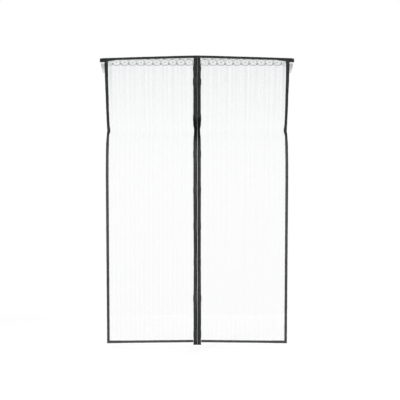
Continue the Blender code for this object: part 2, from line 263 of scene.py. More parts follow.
def newPiece(name, vertices, faces, material, marks):
    mesh = rawMesh(name, vertices, [], faces)
    setMarks(mesh, marks)
    work = bmesh.new()
    work.from_mesh(mesh)
    bmesh.ops.recalc_face_normals(work, faces=work.faces)
    work.to_mesh(mesh)
    work.free()
    mesh.shade_smooth()
    mesh.set_sharp_from_angle(angle=math.radians(50))
    mesh.materials.append(material)
    return link(name, mesh)


def tapeRings(lines):
    # mid lines of a folded tape, stations x points x 2, thickened into closed sections
    tangent = np.gradient(lines, axis=1)
    tangent /= np.linalg.norm(tangent, axis=2, keepdims=True)
    normal = np.stack([-tangent[..., 1], tangent[..., 0]], axis=2) * layer["tapeHalf"]
    return join(lines + normal, (lines - normal)[:, ::-1], axis=1)


def tapePiece(name, vertices, material, marks):
    # vertices: stations x ring points x 3, the outer face first
    stations, count = vertices.shape[:2]
    faces = []
    for start in range(0, (stations - 1) * count, count):
        for k in range(count):
            after = (k + 1) % count
            faces.append((start + k, start + after, start + count + after, start + count + k))
    for start in (0, (stations - 1) * count):
        for k in range(count // 2 - 1):
            faces.append((start + k, start + k + 1, start + count - 2 - k, start + count - 1 - k))
    return newPiece(name, vertices, faces, material, marks)


def slabPiece(name, front, thickness, material, marks):
    # front: rows x columns x 3; the back lies behind it
    rows, columns = front.shape[:2]
    shift = rows * columns
    faces = []
    for quad in gridFaces(rows, columns):
        faces += [quad, tuple(v + shift for v in reversed(quad))]
    rim = [*range(columns)] + [r * columns + columns - 1 for r in range(1, rows)]
    rim += [(rows - 1) * columns + c for c in range(columns - 2, -1, -1)]
    rim += [r * columns for r in range(rows - 2, 0, -1)]
    for k, a in enumerate(rim):
        b = rim[(k + 1) % len(rim)]
        faces.append((b, a, a + shift, b + shift))
    both = {mark: join(np.ravel(v), np.ravel(v)) for mark, v in marks.items()}
    back = front + [0, thickness, 0]
    return newPiece(name, join(front.reshape(-1, 3), back.reshape(-1, 3)), faces, material, both)


def addNode(tree, kind, sockets=None, **settings):
    item = tree.nodes.new(kind)
    for key, value in settings.items():
        setattr(item, key, value)
    for key, value in (sockets or {}).items():
        if isinstance(value, bpy.types.NodeSocket):
            tree.links.new(value, item.inputs[key])
        else:
            item.inputs[key].default_value = value
    return item


def maths(tree, operation, first, second=0.0, third=0.0):
    return addNode(tree, "ShaderNodeMath", {0: first, 1: second, 2: third}, operation=operation).outputs[0]


def combine(tree, x, y, z):
    return addNode(tree, "ShaderNodeCombineXYZ", {0: x, 1: y, 2: z}).outputs[0]


def noise(tree, spot, scale, detail):
    return addNode(tree, "ShaderNodeTexNoise", {"Vector": spot, "Scale": scale, "Detail": detail}).outputs[0]


def named(tree, name, kind="FLOAT"):
    return addNode(tree, "GeometryNodeInputNamedAttribute", {"Name": name}, data_type=kind).outputs[0]


def newTree(name, **inputs):
    tree = bpy.data.node_groups.new(name, "GeometryNodeTree")
    add = tree.interface.new_socket
    add("Geometry", in_out="INPUT", socket_type="NodeSocketGeometry")
    for label, value in inputs.items():
        kind = "NodeSocketInt" if isinstance(value, int) else "NodeSocketFloat"
        add(label.replace("_", " "), in_out="INPUT", socket_type=kind).default_value = value
    add("Material", in_out="INPUT", socket_type="NodeSocketMaterial")
    add("Geometry", in_out="OUTPUT", socket_type="NodeSocketGeometry")
    return tree, tree.nodes.new("NodeGroupInput").outputs


def tube(tree, line, sides, radius):
    ring = addNode(tree, "GeometryNodeCurvePrimitiveCircle", {"Resolution": sides, "Radius": radius})
    return addNode(tree, "GeometryNodeCurveToMesh", {
        "Curve": line.outputs[0], "Profile Curve": ring.outputs[0], "Fill Caps": True}).outputs[0]


def finishTree(tree, geometry, given):
    smooth = addNode(tree, "GeometryNodeSetShadeSmooth", {"Geometry": geometry})
    whole = addNode(tree, "GeometryNodeRealizeInstances", {"Geometry": smooth.outputs[0]})
    painted = addNode(tree, "GeometryNodeSetMaterial", {
        "Geometry": whole.outputs[0], "Material": given["Material"]})
    addNode(tree, "NodeGroupOutput", {"Geometry": painted.outputs[0]})
    return tree


def grow(name, seedMesh, stages, thickness=0.0):
    # runs trees on a mesh and keeps the result as a plain mesh
    holder = link("holder", seedMesh)
    for tree, values in stages:
        modifier = holder.modifiers.new("grow", "NODES")
        modifier.node_group = tree
        for item in tree.interface.items_tree:
            if item.in_out == "INPUT" and item.name in values:
                modifier[item.identifier] = values[item.name]
    if thickness:
        wall = holder.modifiers.new("wall", "SOLIDIFY")
        wall.thickness = thickness
        wall.offset = 0
    graph = bpy.context.evaluated_depsgraph_get()
    mesh = bpy.data.meshes.new_from_object(holder.evaluated_get(graph), preserve_all_data_layers=True, depsgraph=graph)
    bpy.data.objects.remove(holder)
    bpy.data.meshes.remove(seedMesh)
    material = mesh.materials[-1]
    mesh.materials.clear()
    mesh.materials.append(material)
    mesh.polygons.foreach_set("material_index", np.zeros(len(mesh.polygons), np.int32))
    mesh.name = name
    return link(name, mesh)


def lineMesh(lines):
    edges, start = [], 0
    for line in lines:
        edges += [(start + k, start + k + 1) for k in range(len(line) - 1)]
        start += len(line)
    return rawMesh("lines", np.concatenate(lines), edges, [])


# Trees for what repeats

def grainTree():
    # one rounded stitch on each point, turned along its direction
    tree, given = newTree("threadGrains", Length=0.003, Width=0.0006, Spread=0.12, Sides=6, Rings=4, Seed=3)
    do = partial(maths, tree)
    grain = addNode(tree, "GeometryNodeMeshUVSphere", {
        "Segments": given["Sides"], "Rings": given["Rings"], "Radius": 0.5})
    turn = addNode(tree, "FunctionNodeAxesToRotation", {
        "Primary Axis": named(tree, "along", "FLOAT_VECTOR"), "Secondary Axis": (0, 1, 0)},
        primary_axis="Z", secondary_axis="Y")
    low, high = do("SUBTRACT", 1.0, given["Spread"]), do("ADD", 1.0, given["Spread"])
    chance = addNode(tree, "FunctionNodeRandomValue", {2: low, 3: high, "Seed": given["Seed"]}, data_type="FLOAT")
    long = do("MULTIPLY", given["Length"], do("MULTIPLY", chance.outputs[1], named(tree, "size")))
    copies = addNode(tree, "GeometryNodeInstanceOnPoints", {
        "Points": given["Geometry"], "Instance": grain.outputs[0], "Rotation": turn.outputs[0],
        "Scale": combine(tree, given["Width"], given["Width"], long)})
    return finishTree(tree, copies.outputs[0], given)


def cordTree():
    # a round cord along each line
    tree, given = newTree("roundCord", Radius=0.0004, Sides=4)
    line = addNode(tree, "GeometryNodeMeshToCurve", {0: given["Geometry"]})
    return finishTree(tree, tube(tree, line, given["Sides"], given["Radius"]), given)


def gatherTree():
    # pushes a flat panel or the lines on it forward in gathers that fade downwards
    tree, given = newTree("gatheredNet", Depth=0.006, Gathers=18.0, Fade=0.75, Rest_Share=0.25, Unevenness=0.35)
    do = partial(maths, tree)
    drop = named(tree, "drop")
    count = do("MULTIPLY", named(tree, "across"), given["Gathers"])
    wave = do("MULTIPLY_ADD", do("COSINE", do("MULTIPLY", count, math.tau)), -0.5, 0.5)
    fading = do("POWER", math.e, do("DIVIDE", drop, do("MULTIPLY", given["Fade"], -1.0)))
    share = do("MULTIPLY_ADD", fading, do("SUBTRACT", 1.0, given["Rest Share"]), given["Rest Share"])
    chance = noise(tree, combine(tree, count, do("MULTIPLY", drop, 1.6), 0.0), 0.9, 1.0)
    uneven = do("MULTIPLY_ADD", do("SUBTRACT", chance, 0.5), do("MULTIPLY", given["Unevenness"], 2.0), 0.86)
    amount = do("MULTIPLY", do("MULTIPLY", wave, share), do("MULTIPLY", named(tree, "hold"), given["Depth"]))
    amount = do("MULTIPLY", do("MULTIPLY", amount, uneven), -1.0)
    moved = addNode(tree, "GeometryNodeSetPosition", {
        "Geometry": given["Geometry"], "Offset": combine(tree, 0.0, amount, 0.0)})
    return finishTree(tree, moved.outputs[0], given)


def pileTree():
    # small hooked loops scattered over a face
    tree, given = newTree("loopPile", Density=1e5, Least_Distance=0.0015, Loop_Radius=0.0008, Thread=0.00014, Seed=5)
    dots = addNode(tree, "GeometryNodeDistributePointsOnFaces", {
        "Mesh": given["Geometry"], "Distance Min": given["Least Distance"], "Density Max": given["Density"],
        "Seed": given["Seed"]}, distribute_method="POISSON")
    arc = addNode(tree, "GeometryNodeCurveArc", {
        "Resolution": 6, "Radius": given["Loop Radius"], "Start Angle": -0.5, "Sweep Angle": math.pi + 1.0})
    turn = addNode(tree, "FunctionNodeRandomValue", {
        0: (1.1, -0.6, -3.1), 1: (1.9, 0.6, 3.1), "Seed": given["Seed"]}, data_type="FLOAT_VECTOR")
    tilt = addNode(tree, "FunctionNodeRotateEuler", {
        "Rotation": combine(tree, math.pi / 2, 0.0, 0.0), "Rotate By": turn.outputs[0]})
    copies = addNode(tree, "GeometryNodeInstanceOnPoints", {
        "Points": dots.outputs[0], "Instance": tube(tree, arc, 3, given["Thread"]), "Rotation": tilt.outputs[0]})
    return finishTree(tree, copies.outputs[0], given)


grains, cords, gathering, pile = grainTree(), cordTree(), gatherTree(), pileTree()
print("trees built")


# Materials

def newMaterial(name, **constants):
    material = bpy.data.materials.new(name)
    material.use_nodes = True
    tree = material.node_tree
    shader = tree.nodes["Principled BSDF"]
    for socket, value in constants.items():
        shader.inputs[socket.replace("_", " ")].default_value = value
    return material, tree, shader, addNode(tree, "ShaderNodeTexCoord").outputs["Object"]


def mark(tree, name):
    return addNode(tree, "ShaderNodeAttribute", attribute_name=name).outputs["Fac"]


def remap(tree, value, fromLow, fromHigh, toLow, toHigh):
    return addNode(tree, "ShaderNodeMapRange", {0: value, 1: fromLow, 2: fromHigh, 3: toLow, 4: toHigh}).outputs[0]


def limit(tree, value):
    return addNode(tree, "ShaderNodeClamp", {0: value}).outputs[0]


def split(tree, spot):
    return addNode(tree, "ShaderNodeSeparateXYZ", {0: spot}).outputs


def shade(colour, factor):
    return tuple(c * factor for c in colour)


def mixColour(tree, factor, *colours):
    first, second = (c if isinstance(c, bpy.types.NodeSocket) else (*c, 1) for c in colours)
    return addNode(tree, "ShaderNodeMix", {0: factor, 6: first, 7: second}, data_type="RGBA").outputs[2]


def dress(tree, shader, colour, cloud, roughness, relief, strength, distance):
    # colour, patchy roughness and relief
    tree.links.new(colour, shader.inputs["Base Color"])
    tree.links.new(remap(tree, cloud, 0.3, 0.7, *roughness), shader.inputs["Roughness"])
    bump = addNode(tree, "ShaderNodeBump", {"Strength": strength, "Distance": distance, "Height": relief})
    tree.links.new(bump.outputs[0], shader.inputs["Normal"])


tapeLook = {
    "warpPitch": 0.0015, "weftPitch": 0.0012, "cloudScale": 48.0, "fineScale": 420.0, "patchy": 0.24,
    "footPaleFrom": -0.55, "footPaleTo": -0.75, "footPale": 0.22, "creaseShadeDepth": 0.9, "contrast": 1.6
}


def makeTape(name, colour, worn):
    # woven tape: painted shade in its creases, pinches and grooves, lighter where its open edges are rubbed, painted
    # highlights on its folds, crowns and raised threads, paler towards the foot
    material, tree, shader, spot = newMaterial(
        name, Sheen_Weight=0.012, Sheen_Roughness=0.5, Specular_IOR_Level=0.10)
    do, parts = partial(maths, tree), split(tree, spot)
    warp = do("SINE", do("MULTIPLY", parts["X"], math.tau / tapeLook["warpPitch"]))
    weft = do("SINE", do("MULTIPLY", parts["Z"], math.tau / tapeLook["weftPitch"]))
    weave = do("MULTIPLY_ADD", do("MULTIPLY", warp, weft), 0.5, 0.5)
    cloud, fine = noise(tree, spot, tapeLook["cloudScale"], 4.0), noise(tree, spot, tapeLook["fineScale"], 2.0)
    patchy = remap(tree, cloud, 0.38, 0.68, 0.0, tapeLook["patchy"])
    # the wear mark carries real rubbing on the open edges and painted highlights on folds, crowns and pocket roofs
    rubbedAndLit = do("MULTIPLY", mark(tree, "wearAndHighlight"), do("MULTIPLY_ADD", fine, 0.9, 0.25))
    # the colour grows paler towards the foot
    footPaling = remap(tree, parts["Z"], tapeLook["footPaleFrom"], tapeLook["footPaleTo"], 0.0, tapeLook["footPale"])
    lightened = limit(tree, do("ADD", do("ADD", patchy, rubbedAndLit), footPaling))
    # painted shade where the tape creases, pinches and dips
    creaseShade = limit(tree, do("MULTIPLY", mark(tree, "creaseShade"), tapeLook["creaseShadeDepth"]))

    # each tone blends towards the worn colour, which takes both real rubbing and painted highlights, then towards
    # painted shade
    def tone(plainShare, wornShare, creaseShadeShare):
        base = mixColour(tree, lightened, shade(colour, plainShare), shade(worn, wornShare))
        return mixColour(tree, creaseShade, base, shade(colour, creaseShadeShare))

    # the raised threads get a painted highlight, up to 2.5 times the plain colour; the sunk threads keep the plain
    # colour
    litThreads = do("MULTIPLY_ADD", do("POWER", weave, tapeLook["contrast"]), 0.85, do("MULTIPLY", fine, 0.10))
    cloth = mixColour(tree, litThreads, tone(1.0, 1.0, 0.10), tone(2.5, 1.2, 0.5))
    dress(tree, shader, cloth, cloud, (0.74, 0.94), do("MULTIPLY_ADD", fine, 0.5, weave), 0.6, 0.0004)
    return material


def makeNet(name, pitch, upper=(0.66, 0.72, 0.72), lower=(0.83, 0.85, 0.85)):
    # knitted net: slanting threads, thicker where the cloth carries more of them
    material, tree, shader, spot = newMaterial(name, Specular_IOR_Level=0.2)
    do, parts = partial(maths, tree), split(tree, spot)
    fall = do("MULTIPLY", parts["Z"], math.tau / pitch * 0.58)
    walk = do("MULTIPLY", parts["X"], math.tau / pitch)
    crossing = do("MAXIMUM", do("COSINE", do("ADD", walk, fall)), do("COSINE", do("SUBTRACT", walk, fall)))
    thread = do("MULTIPLY_ADD", crossing, 0.62, 0.70)
    cloud = noise(tree, spot, 9.0, 3.0)
    body = do("MULTIPLY", mark(tree, "cover"), do("MULTIPLY_ADD", cloud, 0.24, 0.88))
    tree.links.new(limit(tree, do("MULTIPLY", body, thread)), shader.inputs["Alpha"])
    # painted shade: the threads' colour grows darker towards the top
    white = mixColour(tree, remap(tree, parts["Z"], -0.02, -0.9, 0.0, 1.0), upper, lower)
    speckled = mixColour(tree, do("MULTIPLY", cloud, 0.10), white, shade(upper, 0.9))
    dress(tree, shader, speckled, cloud, (0.65, 0.85), thread, 0.3, 0.0003)
    return material


def makeThread(name, colour, shadow, twist=0.0010, scale=90.0):
    # twisted thread: slanting plies, uneven colour
    material, tree, shader, spot = newMaterial(name, Sheen_Weight=0.1)
    do, parts = partial(maths, tree), split(tree, spot)
    run = do("ADD", parts["X"], do("ADD", parts["Z"], parts["Y"]))
    ply = do("MULTIPLY_ADD", do("SINE", do("MULTIPLY", run, math.tau / twist)), 0.5, 0.5)
    cloud = noise(tree, spot, scale, 3.0)
    blend = limit(tree, do("MULTIPLY_ADD", ply, 0.45, do("MULTIPLY", cloud, 0.6)))
    dress(tree, shader, mixColour(tree, blend, shadow, colour), cloud, (0.5, 0.75), ply, 0.4, 0.0001)
    return material


# the second colour is the paler tone that both real rubbing and painted highlights blend towards
tapeBlack = makeTape("wovenBlackTape", (0.0108, 0.0120, 0.0116), (0.112, 0.115, 0.114))
fastenerBlack = makeTape("fastenerBacking", (0.016, 0.016, 0.017), (0.045, 0.045, 0.047))
netWhite = makeNet("knittedNet", 0.0026)
# the white lace's ground and the gusset flaps are coloured grey as painted shade
laceGround = makeNet("laceGround", 0.0034, (0.44, 0.45, 0.45), (0.44, 0.45, 0.45))
gussetLace = makeNet("gussetLace", 0.0034, (0.42, 0.43, 0.43), (0.42, 0.43, 0.43))
blackThread = makeThread("blackThread", (0.060, 0.061, 0.062), (0.012, 0.012, 0.012), 0.0009, 300.0)
pileThread = makeThread("loopPileThread", (0.050, 0.050, 0.053), (0.012, 0.012, 0.013), 0.0007, 200.0)
netYarn = makeThread("netYarn", (0.90, 0.92, 0.92), (0.76, 0.79, 0.79), 0.0008, 60.0)
# painted shade: the white lace's rim, knots, eyes and buds are coloured grey, the knots darkest; only the satin rings
# keep white
laceThread = makeThread("laceThread", (0.56, 0.57, 0.57), (0.36, 0.365, 0.37))
laceDenseShaded = makeThread("laceDenseShaded", (0.22, 0.22, 0.225), (0.10, 0.10, 0.105))
laceEye = makeThread("laceEye", (0.40, 0.405, 0.41), (0.26, 0.26, 0.265))
laceBud = makeThread("laceBud", (0.32, 0.325, 0.33), (0.18, 0.18, 0.185))
laceBright = makeThread("laceSatin", (0.97, 0.975, 0.975), (0.90, 0.91, 0.91))
magnetRubber, tree, shader, spot = newMaterial("bondedMagnet", Specular_IOR_Level=0.4)
grit = noise(tree, spot, 900.0, 3.0)
rubber = mixColour(tree, grit, (0.030, 0.027, 0.026), (0.075, 0.068, 0.064))
dress(tree, shader, rubber, noise(tree, spot, 60.0, 3.0), (0.42, 0.7), grit, 0.25, 0.0002)
print("materials built")


def keep(piece, slotName, *nodes):
    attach(piece, "root")
    if nodes:
        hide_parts(*nodes)
    print(piece.name, sum(len(p.vertices) - 2 for p in piece.data.polygons), "triangles")
    return piece


# Net panels

net = {
    "step": 0.0145, "perGather": 8, "gathers": 18, "depth": 0.0060, "fade": 0.75, "rest": 0.25, "thickness": 0.0005,
    "near": 0.0268, "nearPinch": 0.0058, "pinchReach": 0.045, "farGap": 0.0012, "tuck": 0.005,
    "topTuck": 0.0050, "footTuck": 0.0038, "top": (0.0, 0.022), "rowsFrom": 0.040, "rowsTo": 2.185,
    "foot": (2.186, 2.210), "width": 0.62, "topCover": 0.185, "midCover": 0.064, "lowCover": 0.022,
    "overLace": 0.12, "selvedge": 0.022, "selvedgeCover": 0.36, "bareFrom": 0.006, "bareTo": 0.011,
    "ribYarns": 4, "ribSpread": 0.24, "yarnRadius": 0.00017,
    "yarnLevels": ((0.078, 0.44, 0.022), (0.446, 0.71, 0.011), (0.726, 2.180, 0.022)),
}


def netPoint(side, across, drop):
    # across runs 0 to 1 between the mouths of the sleeve and the binding
    near = net["near"] - net["nearPinch"] * bell(drop - foldDrop, net["pinchReach"])
    far = sideInner(drop) + net["farGap"]
    tucked = [near - net["tuck"], far + net["tuck"]]
    x = np.select([across < 0, across > 1], tucked, between(near, far, across))
    # the flat edges are held by the tapes, the rest gathers
    hold = ease(drop - headingLow(x), 0.002, 0.070) * ease(hemTop(0.3) - drop, 0.0, 0.030)
    level = clamp(drop, archDrop(x) + net["topTuck"], hemLow(x) - net["footTuck"])
    return place(side, x, layer["net"] + forward(level), level), hold


def netCover(side, across, drop):
    # share of thread seen from the front, each of the two faces carrying half
    fading = np.exp(-drop / 0.9)
    cover = between(net["lowCover"], net["midCover"], fading)
    cover = cover + net["topCover"] * np.exp(-clamp(drop - 0.05) / 0.42)
    wave = -0.5 * np.cos(math.tau * net["gathers"] * across)
    inner = 0.5 + 0.5 * np.exp(-across / 0.25)
    uneven = 1.5 * ripple(across, (0.043, 0.071, 0.117), 83 + side)
    cover = cover * (0.94 + 0.34 * fading * (wave * inner + uneven))
    # doubled selvedge, with a thin strip between it and the binding
    apart = (1 - across) * net["width"]
    inside = ease(apart, net["bareFrom"], net["bareTo"])
    edge = inside * (1 - ease(apart, net["selvedge"], net["selvedge"] + 0.005))
    cover = cover * (1 - 0.8 * (1 - inside) * bell(drop, 0.30))
    cover = cover + 0.05 * np.exp(-(1 - across) / 0.12) * np.exp(-drop / 0.35)
    # the net lies thin over the lace
    cover = cover * between(net["overLace"], 1, ease(drop, 0.052, 0.084))
    return cover + net["selvedgeCover"] * edge * bell(drop, 0.26)


def makeNetPanel(word, side):
    across = join([-1], np.linspace(0, 1, net["gathers"] * net["perGather"] + 1), [2])
    drops = join(net["top"], np.arange(net["rowsFrom"], net["rowsTo"], net["step"]), net["foot"])
    grid, level = np.meshgrid(across, drops)
    spots, hold = netPoint(side, grid, level)
    inside = clamp(grid)
    mesh = rawMesh("net", spots, [], gridFaces(len(drops), len(across)))
    setMarks(mesh, {"across": inside, "drop": level, "hold": hold * (inside == grid),
                    "cover": netCover(side, inside, level)})
    gather = {"Depth": net["depth"], "Gathers": float(net["gathers"]), "Fade": net["fade"], "Rest Share": net["rest"]}
    panel = grow("net_" + word, mesh, [(gathering, {**gather, "Material": netWhite})], net["thickness"])
    keep(panel, "white_net", "net_panel_" + word)
    # yarns knitted into each crest, closer round the packing fold
    crests = (np.arange(net["gathers"]) + 0.5)[:, None] + net["ribSpread"] * np.linspace(-1, 1, net["ribYarns"])
    levels = join(*(np.arange(*span) for span in net["yarnLevels"]))
    level, grid = np.meshgrid(levels, crests.ravel() / net["gathers"])
    lines, hold = netPoint(side, grid, level)
    lines[..., 1] -= net["thickness"] / 2 + net["yarnRadius"] * 0.6
    mesh = lineMesh(lines)
    setMarks(mesh, {"across": grid, "drop": level, "hold": hold})
    yarns = grow("net_yarns_" + word, mesh, [
        (gathering, {**gather, "Material": netYarn}),
        (cords, {"Radius": net["yarnRadius"], "Sides": 3, "Material": netYarn})])
    return panel, keep(yarns, "white_net")


netPieces = {word: makeNetPanel(word, side) for word, side in halves}
print("net panels hung")


# Tapes

tape = {
    "step": 0.006, "wander": 0.0005, "pucker": 0.00030, "wornEdge": 0.0012,
    "end": 0.0008, "wingLift": 0.0012, "wingLiftFrom": 0.640, "wingLiftTo": 0.678
}


def puff(at, lengths, seed, share):
    # the slight crown of a tape's front leaf
    return tape["pucker"] * (1 + ripple(at, lengths, seed)) * np.sin(math.pi * share)


def foldTape(rows, share):
    # closed sections from a tape's mid lines, and the wear on its open edges
    lines = np.array([np.stack(row, axis=1) for row in rows])
    steps = np.linalg.norm(np.diff(lines, axis=1), axis=2)
    length = np.pad(np.cumsum(steps, axis=1), ((0, 0), (1, 0)))
    ends = np.exp(-length / tape["wornEdge"]) + np.exp(-(length[:, -1:] - length) / tape["wornEdge"])
    return tapeRings(lines), join(ends, ends[:, ::-1], axis=1) * share


def keepTape(name, node, spots, wearAndHighlight, creaseShade):
    return keep(tapePiece(name, spots, tapeBlack, {"wearAndHighlight": wearAndHighlight, "creaseShade": creaseShade}), "black_tape", node)


def levelTape(name, node, side, across, rows, wearAndHighlight=0.0):
    # a tape that runs from side to side
    rings, worn = foldTape(rows, 0.4)
    spots = place(side, across[:, None] + 0 * rings[..., 0], rings[..., 1], rings[..., 0])
    return keepTape(name, node, spots, worn + wearAndHighlight, 0 * worn)


leaf = np.linspace(0, 1, 9)


def halfTurn(count):
    return np.linspace(0, math.pi, count)[1:-1]


def section(edge, tip, share, count, first, second):
    # from the open edge to the tip along the first leaf, round the fold and back along the second
    bulge, turn = (first[-1] - second[0]) / 2, halfTurn(count)
    fold = tip - bulge
    course = join(between(edge, fold, share), fold + bulge * np.sin(turn), between(fold, edge, share))
    return course, join(first, second[0] + bulge * (1 + np.cos(turn)), second)


def stationsTo(start, end):
    return join(np.arange(start, end - 0.003, tape["step"]), [end - tape["end"], end])


def makeSideBinding(word, side):
    drops = np.arange(headingLow(wingStart) - 0.005, hemTop(0.69) + 0.006, tape["step"])
    outer = sideOuter(drops) + tape["wander"] * ripple(drops, (0.21, 0.083, 0.047), 11 + side)
    inner = sideInner(drops) + tape["wander"] * ripple(drops, (0.17, 0.061, 0.035), 17 + side)
    share = np.linspace(0, 1, 12)
    rows = [section(near, far - layer["tapeHalf"], share, 7,
                    layer["tapeFront"] + puff(drop, (0.019, 0.053), 5, share), layer["tapeBack"] + 0 * share)
            for drop, far, near in zip(drops, outer, inner)]
    rings, wearAndHighlight = foldTape(rows, 0.5)
    level = drops[:, None] + 0 * rings[..., 0]
    spots = place(side, rings[..., 0], rings[..., 1] + forward(level), level)
    share = (rings[..., 0] - inner[:, None]) / (outer - inner)[:, None]
    # painted highlight along the tape's crown, growing lower down
    crownHighlight = 0.06 + (0.16 + 0.28 * bell(share - 0.45, 0.22)) * ease(level, 0.50, 0.80)
    # painted shade just below the packing fold's crease
    creaseShade = 0.7 * bell(level - foldDrop - 0.022, 0.006)
    return keepTape("side_tape_" + word, "side_binding_" + word, spots, wearAndHighlight + crownHighlight, creaseShade)


def makeHeading(word, side):
    start = np.max(sleeveOuter(np.linspace(0, 0.03, 4), side)) + (0.0004 if side < 0 else 0.0012)
    across = stationsTo(start, halfSpan)
    rows = []
    for x in across:
        top = archDrop(x) + 0.0004 + 0.0004 * ripple(x, (0.31, 0.11, 0.047), 23 + side) * ease(halfSpan - x, 0, 0.03)
        low = headingLow(x) + 0.0006 * ripple(x, (0.23, 0.071, 0.039), 29 + side)
        ahead = layer["tapeFront"] + tape["wingLift"] * ease(x, tape["wingLiftFrom"], tape["wingLiftTo"])
        rows.append(section(low, top, leaf, 9, layer["headingBack"] + 0 * leaf,
                            ahead + puff(x, (0.023, 0.061), 7, leaf)))
    return levelTape("heading_tape_" + word, "heading_" + word, side, across, rows)


# pocket shape, with the strengths of the rubbing, the painted highlights and the painted shade on the sleeve tapes
pocket = {
    "rampRun": 0.0194, "shelf": 0.0163, "foldRadius": 0.0010, "slack": 0.0007, "crown": 0.0005,
    "rubbedAndLit": 0.05, "foldWearAndHighlight": 0.75, "roofHighlight": 0.16, "rubbedFoot": 0.10, "pinch": 0.558,
    "pinchReach": 0.080, "shade": 0.12, "grooveShade": 0.60, "footShade": 0.18
}


def makeSleeve(word, side):
    drops = join([0.0, 0.003], np.arange(0.006, 2.216, tape["step"]), [2.220, 2.222])
    front, back = layer["tapeFront"], layer["tapeBack"]
    climb, turn = np.linspace(0, 1, 6)[1:-1], halfTurn(9)
    rows = []
    for drop in drops:
        full = pocketShare(drop)
        slit = eased(drop, *sleeve["slit"]) / 2
        edge = slit + side * seam(drop) + layer["tapeHalf"] + pocket["foldRadius"]
        seat = np.interp(drop, *sleeve["seatSlit"]) / 2 + layer["tapeHalf"]
        outer = sleeveOuter(drop, side) + tape["wander"] * ripple(drop, (0.13, 0.049, 0.31), 37 + side)
        ramp, shelf = min(seat + pocket["rampRun"], outer - tape["end"]), seat + pocket["shelf"]
        roof = between(front, layer["pocketRoof"], full)
        slack = pocket["slack"] * (1 - full) * (1 + ripple(drop, (0.037, 0.017, 0.071), 41 + side))
        x = join(between(outer, ramp, leaf), between(ramp, shelf, climb), between(shelf, edge, leaf),
                 edge - pocket["foldRadius"] * np.sin(turn), between(edge, outer, leaf))
        depth = join(front + puff(drop, (0.021, 0.057), 43, leaf), between(front, roof, ease(climb)),
                     roof + (slack + pocket["crown"] * full) * np.sin(math.pi * leaf),
                     (roof + back) / 2 + (roof - back) / 2 * np.cos(turn), np.full(9, back))
        rows.append((x, depth))
    rings, wearAndHighlight = foldTape(rows, 0.30)
    x = rings[..., 0]
    level = drops[:, None] + 0 * x
    level[0] = archDrop(x[0])
    spots = place(side, x, rings[..., 1] + forward(level), level)
    # the fold at the parting is rubbed and carries a painted highlight, painted highlights lie on the pocket roofs, and
    # painted shade darkens the packing fold's pinch (most on the outer half), the groove beside the parting, the upper
    # length and the foot
    edge = side * seam(level)
    wearAndHighlight = wearAndHighlight + pocket["rubbedAndLit"] + pocket["foldWearAndHighlight"] * bell(x - edge - 0.0012, 0.0018)
    # painted highlight where the magnets lift the pocket roofs
    wearAndHighlight = wearAndHighlight + pocket["roofHighlight"] * pocketShare(drops)[:, None] * bell(x - 0.010, 0.006)
    wearAndHighlight = wearAndHighlight + pocket["rubbedFoot"] * bell(level - 1.87, 0.05)
    # painted shade in the pinch, in the upper length, in the groove beside the parting and at the foot
    pinch = bell(level - pocket["pinch"], pocket["pinchReach"], 4)
    creaseShade = 0.90 * ease(x, 0.004, 0.015) * pinch + 0.45 * pinch + pocket["shade"] * (1 - ease(level, 1.5, 1.8))
    creaseShade = creaseShade + pocket["grooveShade"] * bell(x - edge - 0.0066, 0.0030) + pocket["footShade"] * ease(level, 1.94, 1.99)
    return keepTape("centre_tape_" + word, "centre_sleeve_" + word, spots, wearAndHighlight, clamp(creaseShade))


def makeHem(word, side):
    across = stationsTo(sleeveOuter(2.19, side) + hem["gap"], hemEnd)
    rows = []
    for x in across:
        broad = hem["broad"] * ease(x, hem["broadFrom"], hem["broadTo"])
        low = hemLow(x) - 0.0004 + broad + 0.0004 * ripple(x, (0.27, 0.09, 0.043), 53 + side)
        top = hemTop(x) - broad + 0.0005 * ripple(x, (0.19, 0.067, 0.031), 59 + side)
        lift = hem["lift"] * ease(x, hemEnd - hem["liftFrom"], hemEnd - hem["liftTo"])
        rows.append(section(top, low, leaf, 7, layer["tapeFront"] + lift + puff(x, (0.021, 0.055), 61, leaf),
                            layer["tapeBack"] - lift + 0 * leaf))
    return levelTape("hem_tape_" + word, "bottom_hem_" + word, side, across, rows, hem["wearAndHighlight"])


tapes = {word: [make(word, side) for make in (makeSideBinding, makeHeading, makeSleeve, makeHem)]
         for word, side in halves}
print("tapes folded")


# Stitching

stitch = {
    "pitch": 0.0034, "inset": 0.0028, "step": 0.004, "proud": 0.0001, "frontProud": 0.0003,
    "barRise": 0.0006, "barOffset": 0.0265, "barFrom": 0.0030, "barTo": 0.0195,
    "look": {"Length": 0.0026, "Width": 0.0006, "Spread": 0.10, "Sides": 5, "Rings": 3, "Seed": 7}
}


def growStitches(name, points, along, size, values):
    mesh = rawMesh("points", points, [], [])
    setMarks(mesh, {"along": along}, "FLOAT_VECTOR", "vector")
    setMarks(mesh, {"size": size})
    return grow(name, mesh, [(grains, values)])


def stitchRow(line):
    # points at every pitch along a polyline, with its direction there
    run = join([0], np.cumsum(np.linalg.norm(np.diff(line, axis=0), axis=1)))
    at = np.arange(stitch["pitch"] / 2, run[-1], stitch["pitch"])
    points, ahead = (np.stack([np.interp(at + on, run, line[:, k]) for k in range(3)], axis=1) for on in (0, 0.001))
    along = ahead - points
    along[-1] = along[-2]
    return points, along / np.linalg.norm(along, axis=1, keepdims=True)


